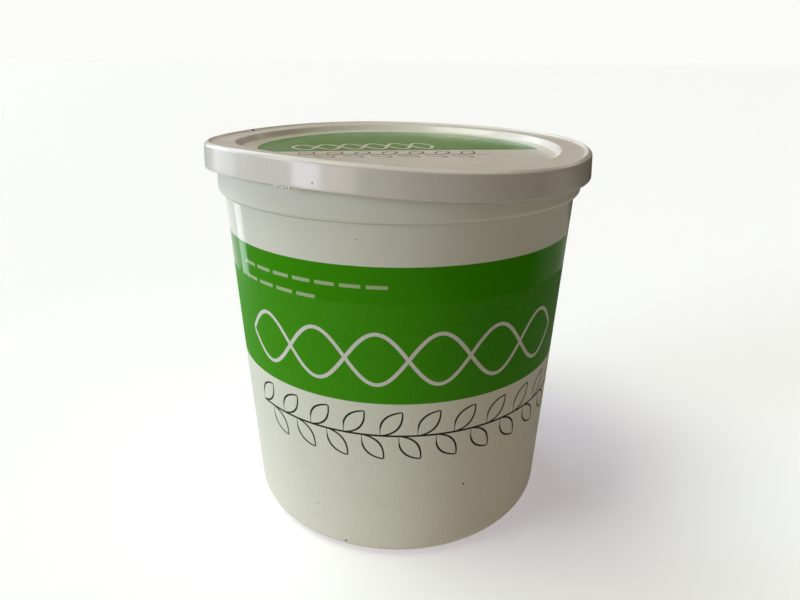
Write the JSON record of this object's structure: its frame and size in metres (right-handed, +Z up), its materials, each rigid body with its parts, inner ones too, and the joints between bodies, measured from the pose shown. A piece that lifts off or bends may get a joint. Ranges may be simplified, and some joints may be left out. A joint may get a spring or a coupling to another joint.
{
  "type": "round delicatessen tub with press-on lid",
  "caption": "Shut round white plastic food tub, filled, with a collar under the rim and a press-on lid with a skirt, a beaded edge and a sunk middle panel, seated slightly askew.",
  "frame": {"origin": "middle of the foot, on the surface that the tub stands on", "axes": "+Z up the tub's axis to the lid, -Y to the front of the print"},
  "size_m": [0.165, 0.165, 0.1678],
  "materials": {
    "tub_plastic": "white moulded polypropylene printed with a green band, glossy above and fine-grained below",
    "lid_plastic": "white moulded polyethylene, satin, with a green field printed on the sunk panel"
  },
  "bodies": {
    "root": {"tub": "tub_plastic", "lid": "lid_plastic"}
  },
  "joints": []
}
